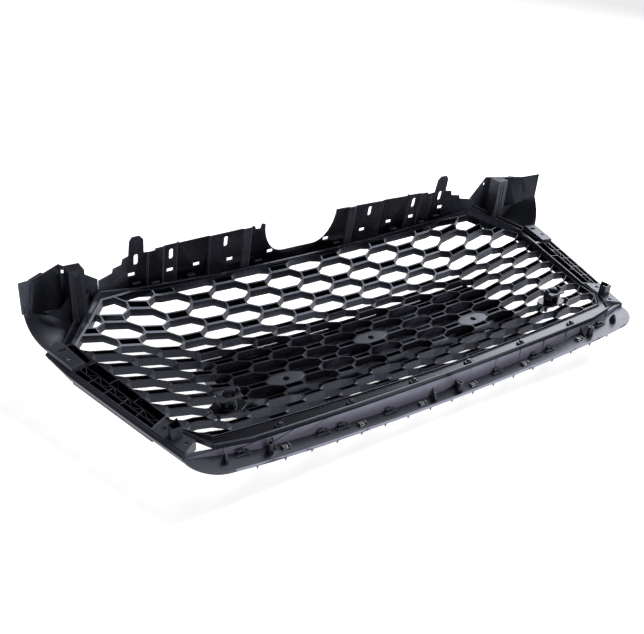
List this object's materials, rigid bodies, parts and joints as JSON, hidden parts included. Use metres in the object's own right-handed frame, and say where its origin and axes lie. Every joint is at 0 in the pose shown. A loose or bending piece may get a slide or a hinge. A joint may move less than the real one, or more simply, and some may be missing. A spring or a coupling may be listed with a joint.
{
  "type": "front grille",
  "caption": "Black moulded honeycomb front grille with surround, upper support panel, wings, number plate carrier and parking sensor holders, lying on its front.",
  "frame": {"origin": "middle of the base of the bounding box, at the flat front of the number plate carrier", "axes": "+X across the car, +Y up the car, +Z rearward; the grille lies on its front"},
  "size_m": [0.9776, 0.4274, 0.177],
  "materials": {
    "satin_black_abs": "satin moulded",
    "textured_black_pp": "fine textured",
    "slate_trim": "smooth satin",
    "zinc_steel": "dull zinc plated"
  },
  "bodies": {
    "root": {"bar_clips": "textured_black_pp", "bottom_bar": "satin_black_abs", "box_clip_left": "textured_black_pp", "box_clip_right": "textured_black_pp", "corner_frame_left": "satin_black_abs", "corner_frame_right": "satin_black_abs", "headlamp_post_left": "textured_black_pp", "headlamp_post_right": "textured_black_pp", "honeycomb_mesh": "satin_black_abs", "lip_strip": "slate_trim", "locating_bosses": "textured_black_pp", "locating_fins": "textured_black_pp", "lower_block_left": "slate_trim", "lower_block_right": "slate_trim", "plate_carrier_panel": "textured_black_pp", "plate_pad_center": "slate_trim", "plate_pad_left": "slate_trim", "plate_pad_right": "slate_trim", "sensor_holder_left": "textured_black_pp", "sensor_holder_right": "textured_black_pp", "sensor_retainer_left": "textured_black_pp", "sensor_retainer_right": "textured_black_pp", "side_rail_left": "satin_black_abs", "side_rail_right": "satin_black_abs", "side_trim_left": "slate_trim", "side_trim_right": "slate_trim", "spring_nuts": "zinc_steel", "top_bar": "satin_black_abs", "trim_clips": "textured_black_pp", "upper_block_left": "slate_trim", "upper_block_right": "slate_trim", "upper_support_panel": "textured_black_pp", "wing_left": "textured_black_pp", "wing_right": "textured_black_pp"}
  },
  "joints": []
}
